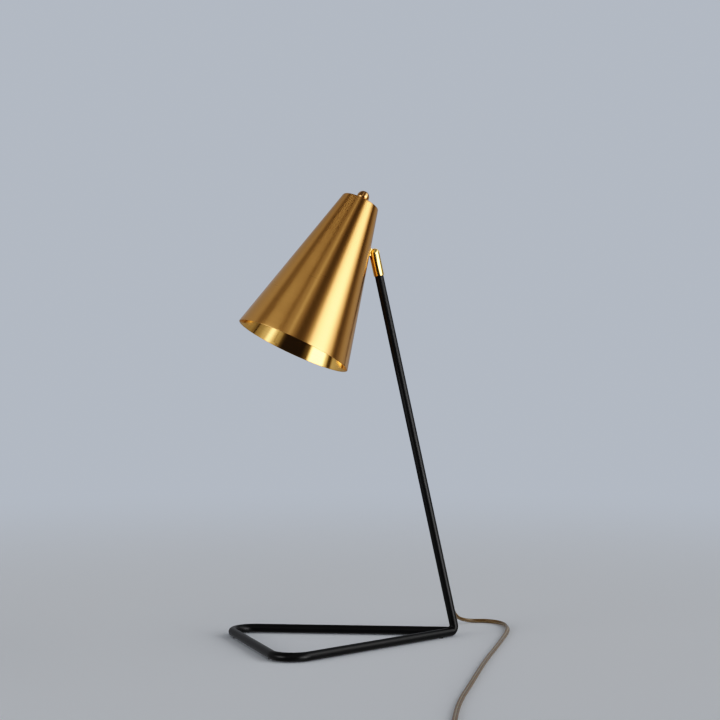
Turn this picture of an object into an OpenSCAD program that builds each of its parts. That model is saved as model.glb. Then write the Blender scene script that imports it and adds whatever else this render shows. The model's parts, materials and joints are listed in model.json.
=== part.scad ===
// Desk lamp: a bent-rod triangle base, a leaning tube stem, a slotted swivel
// knuckle and a conical metal shade. Millimetres, +Z up, standing on z = 0.
// The lamp's own plane of symmetry is y = 0 and the shade points towards -X.

/* [Base] */
// Diameter of the bent rod of the base
rod_d = 10; // [9:0.5:10]
// Distance from the heel to the cross rod, centre to centre
base_len = 245; // [225:1:265]
// Width of the base over the rod centres, before the corners are rounded
base_wid = 230; // [200:1:250]
// Bend radius of the two rounded corners, at the rod's centre
corner_r = 24; // [16:1:34]
// Bend radius of the heel, where the front rod turns up into the stem
heel_r = 6.5; // [6:0.5:9]
// Height of the rubber pads under the rod
pad_h = 0.6; // [0.5:0.1:2]

/* [Stem] */
// Outside diameter of the stem tube
stem_d = 10; // [10:0.1:10.4]
// Wall of the stem tube
stem_wall = 1; // [0.9:0.05:1]
// Length from the heel's corner to the top of the tube
stem_len = 422; // [400:1:440]
// Lean of the stem from the vertical, in degrees
stem_lean = 12.9; // [11:0.1:14]

/* [Knuckle] */
// Diameter of the swivel knuckle
knuckle_d = 12; // [12:0.1:12.4]
// Length of the knuckle from the stem to the top of its dome
knuckle_len = 32; // [30:0.5:36]
// Width of the knuckle's slot
slot_w = 5.6; // [5.5:0.1:5.8]
// Diameter of the pivot pin
pin_d = 3; // [2.6:0.1:3.2]

/* [Shade] */
// Length of the shade along its axis
shade_len = 183.6; // [180:0.2:190]
// Outside radius of the shade at its top
shade_r_top = 21.6; // [21.2:0.1:22]
// Outside radius of the shade at its mouth
shade_r_mouth = 67; // [64:0.5:70]
// Thickness of the shade's sheet
shade_wall = 0.8; // [0.7:0.05:1]
// Tilt of the shade's axis from the vertical, in degrees
shade_tilt = 26.1; // [22:0.1:34]
// Distance of the side joint below the shade's top
joint_down = 45.8; // [44:0.2:48]
// Radius of the ball on top of the shade
ball_r = 7.1; // [6.6:0.1:7.4]

/* [Lampholder and bulb] */
// Outside diameter of the lampholder
holder_d = 38; // [37:0.5:38]
// Diameter of the bulb's round glass
bulb_d = 60; // [55:1:60]

/* [Cord] */
// Width of the flat twin cord
cord_w = 5.2; // [5:0.1:5.4]
// Thickness of the flat twin cord
cord_t = 3; // [2.8:0.1:3]
// Length of the tapered strain relief at the stem
relief_len = 22; // [20:0.5:24]

/* [Hidden] */

$fn = 64;

// colours as the lamp shows them
black_coat = [0.07, 0.07, 0.075];
brass_satin = [0.72, 0.54, 0.28];
brass_gold = [0.90, 0.70, 0.30];
bronze = [0.45, 0.32, 0.16];
dark_plastic = [0.10, 0.10, 0.10];
clear_gold = [0.62, 0.50, 0.30];
steel = [0.75, 0.76, 0.78];
rubber = [0.16, 0.16, 0.16];
opal = [0.93, 0.93, 0.90];

// ---- frame geometry -------------------------------------------------------
rod_r = rod_d / 2;
rod_z = rod_r + pad_h;                       // height of the rod's centre
phi = atan((base_wid / 2) / base_len);       // half angle of the base at the heel
sl = sin(stem_lean);
cl = cos(stem_lean);
pivot_l = stem_len + knuckle_len - knuckle_d / 2;   // pivot along the stem's axis

// pivot relative to the heel
pv_x = -pivot_l * sl;
pv_z = rod_z + pivot_l * cl;

// shade geometry in the head's own frame: origin at the centre of the top
// plate, +Z up along the axis, the joint on the +X side
ha = atan((shade_r_mouth - shade_r_top) / shade_len);  // half angle of the cone
wall_gap = 7.2;                                        // pivot to the shade's outside
function cone_r(z) = shade_r_top - z * (shade_r_mouth - shade_r_top) / shade_len;
jt_x = cone_r(-joint_down) + wall_gap / cos(ha);       // pivot in the head's frame
jt_z = -joint_down;
top_x = pv_x - (jt_x * cos(shade_tilt) + jt_z * sin(shade_tilt));
top_z = pv_z - (-jt_x * sin(shade_tilt) + jt_z * cos(shade_tilt));

// the lamp is centred on the origin between the shade's tip and the heel
tip_x = top_x - shade_len * sin(shade_tilt) - shade_r_mouth * cos(shade_tilt);
heel_out = 3.40;
heel_x = -(tip_x + heel_out) / 2;

module heel_frame() translate([heel_x, 0, rod_z]) children();
module stem_frame() heel_frame() rotate([0, -stem_lean, 0]) children();
module head_frame() translate([heel_x + top_x, 0, top_z]) rotate([0, shade_tilt, 0]) children();
module joint_frame() head_frame() translate([jt_x, 0, jt_z]) rotate([0, 90 - ha, 0]) children();

// ---- vectors --------------------------------------------------------------
function unit(v) = v / norm(v);
// rigid frame from two perpendicular unit vectors and an origin
module on_axes(ex, ey, o) {
    ez = cross(ex, ey);
    multmatrix([[ex[0], ey[0], ez[0], o[0]],
                [ex[1], ey[1], ez[1], o[1]],
                [ex[2], ey[2], ez[2], o[2]],
                [0, 0, 0, 1]]) children();
}
// straight rod between two points
module rod(p, q, d) {
    v = unit(q - p);
    s = abs(v[2]) > 0.9 ? unit(cross([1, 0, 0], v)) : unit(cross([0, 0, 1], v));
    on_axes(s, cross(v, s), p) cylinder(d = d, h = norm(q - p));
}
// bend of a rod at corner c between the directions u and w that leave it
module bend(c, u, w, r, d) {
    th = acos(u * w);
    ctr = c + unit(u + w) * r / sin(th / 2);
    t = r / tan(th / 2);
    ex = unit(c + u * t - ctr);
    ez = unit(cross(ex, c + w * t - ctr));
    on_axes(ex, cross(ez, ex), ctr)
        rotate_extrude(angle = 180 - th) translate([r, 0]) circle(d = d);
}
function bend_t(u, w, r) = r / tan(acos(u * w) / 2);

// ---- base -----------------------------------------------------------------
c_heel = [0, 0, 0];
c_rear = [-base_len, base_wid / 2, 0];
c_front = [-base_len, -base_wid / 2, 0];
u_rear = unit(c_rear - c_heel);
u_front = unit(c_front - c_heel);
u_stem = [-sl, 0, cl];
t_heel = bend_t(u_stem, u_front, heel_r);
t_cr = bend_t(-u_rear, [0, -1, 0], corner_r);
spigot_d = stem_d - 2 * stem_wall;
tube_start = 12;                             // the tube starts this far up from the corner
weld_at = [-3.4, 1.6, 0.3];
weld_r = rod_r * 1.02;

module base_loop() color(black_coat) heel_frame() {
    // front rod, then the two rounded corners, the cross rod and the rear rod
    union() {
        rod(u_front * t_heel, c_front - u_front * t_cr, rod_d);
        bend(c_front, -u_front, [0, 1, 0], corner_r, rod_d);
        rod(c_front + [0, t_cr, 0], c_rear - [0, t_cr, 0], rod_d);
        bend(c_rear, -u_rear, [0, -1, 0], corner_r, rod_d);
        rod(c_rear - u_rear * t_cr, u_rear * 3, rod_d);
        // heel: the front rod turns up, and the rear rod is welded on behind it
        bend(c_heel, u_stem, u_front, heel_r, rod_d);
        rod(u_stem * t_heel, u_stem * tube_start, rod_d);
        rod(u_stem * (tube_start - 0.5), u_stem * (tube_start + 7), spigot_d);
        // weld bead between the bend and the rear rod
        translate(weld_at) sphere(r = weld_r);
    }
}

pad_d = 5;
pad_y = base_wid / 2 - t_cr - 6;
pad_at = [u_front * 24, u_rear * 24, [-base_len, pad_y, 0], [-base_len, -pad_y, 0]];
module foot_pads() color(rubber) heel_frame() difference() {
    for (p = pad_at) translate([p[0], p[1], -rod_z]) cylinder(d = pad_d, h = rod_z * 0.55);
    rod(u_front * 12, u_front * 40, rod_d + 0.02);
    rod(u_rear * 12, u_rear * 40, rod_d + 0.02);
    rod([-base_len, -90, 0], [-base_len, 90, 0], rod_d + 0.02);
}

// ---- stem -----------------------------------------------------------------
relief_l = 25;                               // the cord leaves the tube here
exit_az = 67;                                // its heading from +X towards +Y
module relief_frame() heel_frame() translate(u_stem * relief_l) rotate([0, 0, exit_az]) rotate([0, 90, 0]) children();

module stem_tube() color(black_coat) difference() {
    stem_frame() difference() {
        translate([0, 0, tube_start]) cylinder(d = stem_d, h = stem_len - tube_start);
        translate([0, 0, tube_start - 1]) cylinder(d = spigot_d, h = stem_len - tube_start + 2);
    }
    relief_frame() cylinder(d = 6.4, h = 8);
}

nipple_d = spigot_d;
module stem_nipple() color(steel) stem_frame() difference() {
    translate([0, 0, stem_len - 8]) cylinder(d = nipple_d, h = 16);
    translate([0, 0, stem_len - 9]) cylinder(d = 5.4, h = 18);
}
module stem_lead() color(dark_plastic) stem_frame()
    translate([0, 0, 30]) cylinder(d = 4.2, h = stem_len + knuckle_len - 12.6 - 30 - 2);

// ---- knuckle --------------------------------------------------------------
slot_floor = pivot_l - 6.3;
module knuckle_fork() color(brass_gold) stem_frame() difference() {
    union() {
        translate([0, 0, stem_len]) cylinder(d = knuckle_d, h = pivot_l - stem_len);
        translate([0, 0, pivot_l]) sphere(d = knuckle_d);
    }
    // slot for the tongue, open at the top and on both sides
    translate([-knuckle_d, -slot_w / 2, slot_floor]) cube([2 * knuckle_d, slot_w, knuckle_d * 2]);
    // seat of the threaded nipple and the passage of the lead
    translate([0, 0, stem_len - 1]) cylinder(d = nipple_d, h = 9);
    translate([0, 0, stem_len + 7]) cylinder(d = 5.4, h = knuckle_len);
    // pivot hole and the flat seat of the screw's head, on the far side
    translate([0, 0, pivot_l]) rotate([90, 0, 0]) cylinder(d = pin_d, h = knuckle_d * 2, center = true);
    translate([0, slot_w / 2 + 1.7, pivot_l]) rotate([-90, 0, 0]) cylinder(d = 5.6, h = 6);
}
// cheese-head pivot screw with a driver slot, sunk in the far cheek
module pivot_screw() color(brass_gold) stem_frame() translate([0, 0, pivot_l]) difference() {
    union() {
        translate([0, -5.8, 0]) rotate([-90, 0, 0]) cylinder(d = pin_d, h = 5.8 + slot_w / 2 + 1.7);
        translate([0, slot_w / 2 + 1.7, 0]) rotate([-90, 0, 0]) cylinder(d = 5.4, h = 1.5);
    }
    translate([-4, slot_w / 2 + 2.4, -0.4]) cube([8, 3, 0.8]);
}
eye_r = 5.5;
tongue_t = slot_w - 0.6;
stud_d = 8;
module knuckle_tongue() color(brass_gold) difference() {
    joint_frame() union() {
        rotate([90, 0, 0]) cylinder(r = eye_r, h = tongue_t, center = true);
        translate([-4, -tongue_t / 2, -6.9]) cube([8, tongue_t, 5]);
        // round collar against the shade's wall, and the threaded stud through it
        translate([0, 0, -9]) cylinder(d = 11, h = 2.6);
        translate([0, 0, -15]) cylinder(d = stud_d, h = 8);
    }
    // pivot bore
    joint_frame() rotate([90, 0, 0]) cylinder(d = pin_d + 0.1, h = 20, center = true);
    // groove round the eye and the bore through the stud, for the lead
    joint_frame() rotate([90, 0, 0]) difference() {
        cylinder(r = eye_r + 0.2, h = 3.4, center = true);
        cylinder(r = 3.3, h = 3.6, center = true);
    }
    joint_frame() translate([0, 0, -16]) cylinder(d = 3.4, h = 12.4);
    // the collar's back follows the shade; the stud is kept
    head_frame() difference() {
        translate([0, 0, -joint_down - 20]) cylinder(r1 = cone_r(-joint_down - 20), r2 = cone_r(-joint_down + 20), h = 40);
        translate([jt_x, 0, jt_z]) rotate([0, 90 - ha, 0]) translate([0, 0, -30]) cylinder(d = stud_d, h = 60);
    }
}

// ---- shade ----------------------------------------------------------------
er = 2.8;                                    // rounding of the top edge
function arc(cx, cy, r, a0, a1, n) = [for (i = [0:n]) let (a = a0 + (a1 - a0) * i / n) [cx + r * cos(a), cy + r * sin(a)]];
er_x = shade_r_top + er * tan(ha) - er / cos(ha);
module shade_profile() {
    cx = er_x;
    cw = shade_wall;
    out = concat([[5.15, 0]], arc(cx, -er, er, 90, ha, 6), [[shade_r_mouth, -shade_len]]);
    inn = concat([[shade_r_mouth - cw / cos(ha), -shade_len]], arc(cx, -er, er - cw, ha, 90, 6), [[5.15, -cw]]);
    polygon(concat(out, inn));
}
module shade() color(brass_satin) difference() {
    head_frame() rotate_extrude($fn = 96) shade_profile();
    joint_frame() translate([0, 0, -12]) cylinder(d = stud_d + 0.2, h = 10);
}
// shaped washer: flat towards the nut, following the cone towards the wall
module stud_washer() color(dark_plastic) intersection() {
    joint_frame() translate([0, 0, -10.2]) difference() {
        cylinder(d = 12.6, h = 6);
        translate([0, 0, -1]) cylinder(d = stud_d + 0.2, h = 8);
    }
    head_frame() translate([0, 0, -joint_down - 20]) cylinder(
        r1 = cone_r(-joint_down - 20) - shade_wall / cos(ha),
        r2 = cone_r(-joint_down + 20) - shade_wall / cos(ha), h = 40, $fn = 240);
}
module hex(af, h) cylinder(d = af / cos(30), h = h, $fn = 6);
module stud_nut() color(brass_gold) joint_frame() difference() {
    translate([0, 0, -13.7]) hex(12, 3.5);
    translate([0, 0, -16]) cylinder(d = stud_d, h = 10);
}
module shade_nipple() color(steel) head_frame() difference() {
    translate([0, 0, -19]) cylinder(d = 10, h = 23);
    translate([0, 0, -20]) cylinder(d = 7, h = 25);
}
module shade_top_nut() color(steel) head_frame() difference() {
    translate([0, 0, -shade_wall - 3]) hex(14, 3);
    translate([0, 0, -9]) cylinder(d = 10, h = 10);
}
module ball_finial() color(bronze) head_frame() difference() {
    translate([0, 0, ball_r - 1.5]) sphere(r = ball_r);
    translate([0, 0, -10]) cylinder(r = 12, h = 10);
    translate([0, 0, -1]) cylinder(d = 10, h = 5.4);
}

// ---- lampholder and bulb --------------------------------------------------
hr = holder_d / 2;
module lampholder_cap() color(dark_plastic) head_frame() difference() {
    rotate_extrude() polygon([[5, -8], [8, -8], [9, -9], [9, -12], [hr - 3, -17], [hr - 1.2, -18.2], [hr, -20.5],
        [hr, -36], [hr - 2, -36], [hr - 2, -21.5], [hr - 4, -19.4], [9, -15.4], [5, -15.4]]);
    // side entry of the lead
    translate([hr, 0, -26]) rotate([0, 90, 0]) cylinder(d = 4.6, h = 12, center = true);
}
module lampholder_block() color([0.88, 0.87, 0.83]) head_frame() difference() {
    translate([0, 0, -36]) cylinder(r = hr - 2.1, h = 8);
    translate([0, 0, -40]) cylinder(d = 3, h = 16);
}
module lampholder_skirt() color(dark_plastic) head_frame() difference() {
    rotate_extrude() polygon([[15.1, -36], [hr, -36], [hr, -40], [hr - 0.8, -40.6], [hr - 0.8, -42.4], [hr, -43],
        [hr, -60], [hr - 1.6, -66], [hr - 2.2, -66.6], [15.1, -66.6]]);
}
module lampholder_thread_sleeve() color(brass_gold) head_frame() difference() {
    translate([0, 0, -60]) cylinder(d = 30, h = 24);
    translate([0, 0, -61]) cylinder(d = 27.2, h = 26);
}
module lampholder_contact() color(brass_gold) head_frame() {
    translate([0, 0, -38.5]) cylinder(d = 7, h = 2.5);
    translate([0, 0, -37]) cylinder(d = 3, h = 8);
}
// thin blown glass, open at the neck
neck = [[13.1, -60], [13.4, -64], [14.6, -70], [17.2, -78], [21, -87], [25.2, -96]];
module bulb_glass() color(opal) head_frame() rotate_extrude($fn = 72) polygon(concat(
    neck, arc(0, -142 + bulb_d / 2, bulb_d / 2, 22, -90, 14),
    arc(0, -142 + bulb_d / 2, bulb_d / 2 - 1, -90, 22, 14),
    [for (i = [5:-1:0]) [neck[i][0] - 1, neck[i][1]]]));
module bulb_screw_cap() color(steel) head_frame() difference() {
    rotate_extrude() polygon(concat([[0, -60]], [[13.2, -60]],
        [for (i = [0:5]) each [[12.4, -58.4 + i * 3], [13.2, -57 + i * 3]]], [[11, -41.6], [5.4, -40.4], [0, -40.4]]));
    translate([0, 0, -61]) cylinder(d = 22.6, h = 18);
}
module bulb_tip_contact() color(steel) head_frame()
    translate([0, 0, -40.4]) cylinder(d1 = 6, d2 = 5, h = 1.9);

// ---- swept tubes ----------------------------------------------------------
// smooth curve through the route's points, with a ring about every step mm
function cr(a, b, c, d, t) = 0.5 * ((2 * b) + (c - a) * t + (2 * a - 5 * b + 4 * c - d) * t * t + (3 * b - a - 3 * c + d) * t * t * t);
function smooth(p, step) = let (n = len(p)) concat([for (i = [0:n - 2]) let (
        a = p[max(i - 1, 0)], b = p[i], c = p[i + 1], d = p[min(i + 2, n - 1)],
        k = max(1, ceil(norm([c[0] - b[0], c[1] - b[1], c[2] - b[2]]) / step)))
    each [for (j = [0:k - 1]) cr(a, b, c, d, j / k)]], [p[n - 1]]);
function v3(p) = [p[0], p[1], p[2]];
// section: a flat cord (w by t) or a round one (w = t)
function section(w, t) = [for (k = [0:4]) [(w - t) / 2 + t / 2 * cos(-90 + 45 * k), t / 2 * sin(-90 + 45 * k)],
    for (k = [0:4]) [-(w - t) / 2 + t / 2 * cos(90 + 45 * k), t / 2 * sin(90 + 45 * k)]];
// closed tube along p; the fourth number of a point rolls the section there
module tube(p, w, t) {
    n = len(p);
    sec = w == t ? [for (k = [0:9]) [w / 2 * cos(36 * k), w / 2 * sin(36 * k)]] : section(w, t);
    m = len(sec);
    pts = [for (i = [0:n - 1]) let (
            tg = unit(v3(p[min(i + 1, n - 1)]) - v3(p[max(i - 1, 0)])),
            s0 = abs(tg[2]) > 0.97 ? unit(cross([0, 1, 0], tg)) : unit(cross(tg, [0, 0, 1])),
            u0 = cross(s0, tg), ro = p[i][3],
            s = s0 * cos(ro) + u0 * sin(ro), u = u0 * cos(ro) - s0 * sin(ro))
        for (q = sec) v3(p[i]) + s * q[0] + u * q[1]];
    faces = concat([[for (j = [m - 1:-1:0]) j]],
        [for (i = [0:n - 2]) for (j = [0:m - 1]) let (k = (j + 1) % m)
            each [[i * m + j, i * m + k, (i + 1) * m + k], [i * m + j, (i + 1) * m + k, (i + 1) * m + j]]],
        [[for (j = [0:m - 1]) (n - 1) * m + j]]);
    polyhedron(points = pts, faces = faces, convexity = 6);
}

// lead inside the shade, from the hollow stud to the lampholder's side entry
lead_pts = [[jt_x - 14.6 * cos(ha), 0, jt_z - 14.6 * sin(ha), 0], [24.4, 0, -49.9, 0], [22.4, 0, -48.6, 0],
    [21.6, 0, -45.6, 0], [22, 0, -38, 0], [22.2, 0, -31, 0], [21.2, 0, -27.4, 0], [18.6, 0, -26, 0], [16.2, 0, -26, 0]];
module head_lead() color(dark_plastic) head_frame() tube(smooth(lead_pts, 3), 3, 3);

// ---- cord -----------------------------------------------------------------
// The route is laid out in a frame with its origin on the floor under the heel,
// turned by lay_a: x runs to one side and y away, z is the height of the
// cord's centre and the fourth number the roll of its flat section.
lay_a = -19.6;
module lay() translate([heel_x, 0, 0]) rotate([0, 0, lay_a]) children();
re_x = -relief_l * sl + (stem_d / 2 + relief_len) * cos(exit_az);
re_y = (stem_d / 2 + relief_len) * sin(exit_az);
re_z = rod_z + relief_l * cl;
run_pts = [
    [cos(lay_a) * re_x + sin(lay_a) * re_y, -sin(lay_a) * re_x + cos(lay_a) * re_y, re_z, 0],
    [-3, 37, 30.3, 0], [-2, 49, 27.5, 0], [0.5, 61, 21.5, 0], [4, 73, 14, 6], [10, 84, 7.6, 20],
    [19.5, 92.5, 3.8, 40], [31, 96.5, 2.5, 55], [43, 95.5, 2.5, 60], [53.5, 89, 2.5, 60],
    [60.5, 78.5, 2.5, 58], [64, 65.5, 2.5, 54], [65, 51, 2.4, 46], [64, 34, 2.2, 36], [61, 13, 2, 24],
    [56, -13, 1.8, 12], [49, -46, 1.6, 4], [40, -88, 1.55, 0], [29, -138, 1.55, 0], [17.5, -194, 1.55, 0],
    [6.5, -252, 1.55, 0], [-4, -308, 1.55, 0], [-13.5, -358, 1.55, 0], [-20.5, -404, 1.55, 0],
    [-25.5, -448, 1.55, 0], [-29, -486, 1.55, 0], [-30, -507, 1.6, 4], [-26.5, -524, 2.1, 14],
    [-17, -538, 3.4, 14], [-3, -545.5, 5.6, 8], [12, -547, 8, 0], [24, -547, 8, 0]];
link_pts = [[84, -547, 8, 0], [87, -547, 8, 0], [94, -548.3, 7.3, 12], [101.5, -552.4, 5.3, 40], [108.5, -557.9, 3.6, 72], [114.3, -562.2, 3.1, 90]];
tail_pts = [[132, -568.1, 8.5, 90], [142, -569, 8.4, 70], [150, -571.2, 7.5, 30], [157, -572, 7, 0], [160, -572, 7, 0]];
coil_at = [132, -537];
coil_in = 21.4;
coil_out = 32.6;
coil_h = 11.2;
switch_at = [54, -547];
plug_at = [160, -572];
plug_z = 7;

module cord_run() color(clear_gold) lay() tube(smooth(run_pts, 15.6), cord_w, cord_t);
module cord_link() color(clear_gold) lay() tube(smooth(link_pts, 14), cord_w, cord_t);
module cord_tail() color(clear_gold) lay() tube(smooth(tail_pts, 14), cord_w, cord_t);
// five turns on edge, in two layers: the outer shape of the wound coil
module cord_coil() color(clear_gold) lay() translate([coil_at[0], coil_at[1], 0]) rotate_extrude()
    polygon([[coil_in + 0.8, 0], [coil_out - 0.8, 0], [coil_out, 0.8], [coil_out, coil_h - 0.8],
        [coil_out - 0.8, coil_h], [coil_in + 0.8, coil_h], [coil_in, coil_h - 0.8], [coil_in, 0.8]]);
module cord_relief() color(clear_gold) {
    difference() {
        relief_frame() translate([0, 0, stem_d / 2 - 1.5]) cylinder(d1 = 8.6, d2 = 6.6, h = relief_len + 1.5);
        stem_frame() cylinder(d = stem_d, h = 60);
    }
    difference() {
        relief_frame() translate([0, 0, 3.6]) cylinder(d = 6.3, h = 6);
        stem_frame() cylinder(d = spigot_d - 0.6, h = 60);
    }
}

// ---- inline switch --------------------------------------------------------
module switch_frame() lay() translate([switch_at[0], switch_at[1], 0]) children();
module switch_plan(g = 0) polygon([[-30 + g, -6 + g / 2], [-24 + g / 2, -11 + g], [-16, -13 + g], [16, -13 + g], [24 - g / 2, -11 + g],
    [30 - g, -6 + g / 2], [30 - g, 6 - g / 2], [24 - g / 2, 11 - g], [16, 13 - g], [-16, 13 - g], [-24 + g / 2, 11 - g], [-30 + g, 6 - g / 2]]);
screw_xy = [[21, 6.5], [-21, -6.5]];
axle_z = 12.5;
module switch_base() color(dark_plastic) switch_frame() difference() {
    linear_extrude(8.4) switch_plan();
    translate([-15, -10, 2]) cube([30, 20, 8]);
    for (p = screw_xy) translate([p[0], p[1], -1]) { cylinder(d = 5.4, h = 3.6); cylinder(d = 2.8, h = 12); }
}
module switch_cover() color(dark_plastic) switch_frame() difference() {
    union() {
        translate([0, 0, 8.4]) linear_extrude(7.8) switch_plan();
        translate([0, 0, 16.2]) linear_extrude(1.8) switch_plan(1.4);
    }
    // opening of the rocker, the axle's holes and the screws' pilot holes
    translate([-11, -5.3, 8]) cube([22, 10.6, 12]);
    translate([0, 0, axle_z]) rotate([90, 0, 0]) cylinder(d = 2.4, h = 16, center = true);
    for (p = screw_xy) translate([p[0], p[1], 8]) cylinder(d = 2.6, h = 6);
}
module switch_screws() color(steel) switch_frame() for (p = screw_xy) translate([p[0], p[1], 0]) difference() {
    union() {
        translate([0, 0, 0.6]) cylinder(d = 5, h = 2);
        translate([0, 0, 2]) cylinder(d = 2.6, h = 11);
    }
    translate([-3, -0.4, 0]) cube([6, 0.8, 1.5]);
}
module switch_axle() color(steel) switch_frame() translate([0, 0, axle_z]) rotate([90, 0, 0]) cylinder(d = 2.4, h = 15.6, center = true);
// rests with one end down
module switch_rocker() color(dark_plastic) switch_frame() translate([0, 0, axle_z]) rotate([0, -7, 0]) difference() {
    rotate([90, 0, 0]) linear_extrude(9.8, center = true)
        polygon(concat([[3, 1.2]], [[9.6, 2.2], [10, 3], [10, 5.2], [9.6, 5.6], [5, 4.9], [0, 4.65], [-5, 4.9], [-9.6, 5.6], [-10, 5.2], [-10, 3], [-9.6, 2.2], [-3, 1.2]],
            arc(0, 0, 3, 200, 340, 8)));
    rotate([90, 0, 0]) cylinder(d = 2.5, h = 20, center = true);
}
module switch_contacts() color(brass_gold) switch_frame() for (m = [-1, 1])
    translate([m * 10 - 3, -2, 2]) cube([6, 4, 2.8]);

// ---- plug -----------------------------------------------------------------
module plug_frame() lay() translate([plug_at[0], plug_at[1], plug_z]) children();
pin_y = 9.3;
pin_len = 19;
module plug_body() color(clear_gold) plug_frame() difference() {
    union() {
        rotate([0, 90, 0]) cylinder(d1 = 6.4, d2 = 11, h = 20);
        translate([0, 0, -6.8]) linear_extrude(13.6) polygon([[14, -5], [17, -7], [24, -10.4], [32, -12.6], [44, -13], [46, -12.4],
            [46, 12.4], [44, 13], [32, 12.6], [24, 10.4], [17, 7], [14, 5]]);
    }
    for (m = [-1, 1]) translate([38, m * pin_y, 0]) rotate([0, 90, 0]) cylinder(d = 5, h = 12);
}
// pins with thicker roots held in the body
module plug_pins() color(steel) plug_frame() for (m = [-1, 1]) translate([38, m * pin_y, 0]) rotate([0, 90, 0]) {
    cylinder(d = 5, h = 8);
    translate([0, 0, 8]) cylinder(d = 4, h = pin_len - 2);
    translate([0, 0, 8 + pin_len - 2]) sphere(d = 4);
}

base_loop();
foot_pads();
stem_tube();
stem_nipple();
stem_lead();
knuckle_fork();
pivot_screw();
knuckle_tongue();
stud_washer();
stud_nut();
shade();
shade_top_nut();
shade_nipple();
ball_finial();
lampholder_cap();
lampholder_block();
lampholder_skirt();
lampholder_thread_sleeve();
lampholder_contact();
head_lead();
bulb_glass();
bulb_screw_cap();
bulb_tip_contact();
cord_relief();
cord_run();
cord_link();
cord_coil();
cord_tail();
switch_base();
switch_cover();
switch_screws();
switch_rocker();
switch_axle();
switch_contacts();
plug_body();
plug_pins();
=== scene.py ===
import json
import math

import bmesh
import bpy
import numpy as np
from mathutils import Matrix, Vector

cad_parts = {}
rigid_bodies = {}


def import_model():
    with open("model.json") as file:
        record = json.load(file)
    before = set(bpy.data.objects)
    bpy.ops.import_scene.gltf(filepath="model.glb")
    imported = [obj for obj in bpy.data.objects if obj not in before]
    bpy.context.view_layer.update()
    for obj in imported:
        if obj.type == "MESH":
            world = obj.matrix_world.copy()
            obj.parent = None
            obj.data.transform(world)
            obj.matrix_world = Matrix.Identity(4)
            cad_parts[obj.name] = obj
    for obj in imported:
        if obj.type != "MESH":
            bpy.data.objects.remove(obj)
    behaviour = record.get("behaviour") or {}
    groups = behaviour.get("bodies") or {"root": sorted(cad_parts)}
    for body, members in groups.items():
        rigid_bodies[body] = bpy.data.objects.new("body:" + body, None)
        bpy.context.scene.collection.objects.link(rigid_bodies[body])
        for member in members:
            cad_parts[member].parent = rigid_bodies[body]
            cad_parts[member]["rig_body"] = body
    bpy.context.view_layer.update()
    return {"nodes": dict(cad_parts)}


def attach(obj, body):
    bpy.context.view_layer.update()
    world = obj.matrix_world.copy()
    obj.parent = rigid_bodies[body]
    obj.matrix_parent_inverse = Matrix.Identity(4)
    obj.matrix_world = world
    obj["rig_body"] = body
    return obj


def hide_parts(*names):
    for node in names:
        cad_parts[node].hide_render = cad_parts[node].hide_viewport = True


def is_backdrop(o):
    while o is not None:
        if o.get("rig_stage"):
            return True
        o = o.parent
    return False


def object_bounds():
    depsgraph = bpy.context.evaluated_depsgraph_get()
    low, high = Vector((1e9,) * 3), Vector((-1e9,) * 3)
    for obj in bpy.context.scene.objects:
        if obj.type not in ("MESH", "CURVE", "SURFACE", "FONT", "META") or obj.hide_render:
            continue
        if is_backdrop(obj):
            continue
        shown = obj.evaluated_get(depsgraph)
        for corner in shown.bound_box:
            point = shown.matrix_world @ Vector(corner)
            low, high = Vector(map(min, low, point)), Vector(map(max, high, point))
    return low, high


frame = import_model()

scene = bpy.context.scene
MM = 0.001

# ---------------------------------------------------------------- geometry of the frame
ROD_R = 5.0
ROD_Z = 5.6
BASE_LEN, BASE_WID = 245.0, 230.0
CORNER_R, HEEL_R = 24.0, 6.5
LEAN, TILT = math.radians(12.9), math.radians(26.1)
STEM_LEN, KNUCKLE_LEN, KNUCKLE_D = 422.0, 32.0, 12.0
SHADE_LEN, R_TOP, R_MOUTH, SHEET = 183.6, 21.6, 67.0, 0.8
JOINT_DOWN, WALL_GAP = 45.8, 7.2
BALL_R = 7.1

HA = math.atan((R_MOUTH - R_TOP) / SHADE_LEN)
SL, CL = math.sin(LEAN), math.cos(LEAN)
PIVOT_L = STEM_LEN + KNUCKLE_LEN - KNUCKLE_D / 2


def cone_r(z):
    return R_TOP - z * (R_MOUTH - R_TOP) / SHADE_LEN


JT_X, JT_Z = cone_r(-JOINT_DOWN) + WALL_GAP / math.cos(HA), -JOINT_DOWN
PV_X, PV_Z = -PIVOT_L * SL, ROD_Z + PIVOT_L * CL
TOP_X = PV_X - (JT_X * math.cos(TILT) + JT_Z * math.sin(TILT))
TOP_Z = PV_Z - (-JT_X * math.sin(TILT) + JT_Z * math.cos(TILT))
HEEL_X = -(TOP_X - SHADE_LEN * math.sin(TILT) - R_MOUTH * math.cos(TILT) + 3.40) / 2


def shift(x, y, z):
    return Matrix.Translation((x, y, z))


def turn(deg, axis):
    return Matrix.Rotation(math.radians(deg), 4, axis)


# frames in millimetres: local millimetres to the row frame's millimetres
HEEL = shift(HEEL_X, 0, ROD_Z)
STEM = HEEL @ turn(-12.9, "Y")
HEAD = shift(HEEL_X + TOP_X, 0, TOP_Z) @ turn(26.1, "Y")
JOINT = HEAD @ shift(JT_X, 0, JT_Z) @ turn(90 - math.degrees(HA), "Y")
LAY = shift(HEEL_X, 0, 0) @ turn(-19.6, "Z")
SWITCH = LAY @ shift(54, -547, 0)
PLUG = LAY @ shift(160, -572, 7)
U_STEM = Vector((-SL, 0, CL))
RELIEF = HEEL @ Matrix.Translation(U_STEM * 25.0) @ turn(67, "Z") @ turn(90, "Y")


def placed(m, p):
    """Points in a frame's millimetres to metres in the row frame."""
    a = np.array(m, float)
    p = np.atleast_2d(np.asarray(p, float))
    return (p @ a[:3, :3].T + a[:3, 3]) * MM


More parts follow.
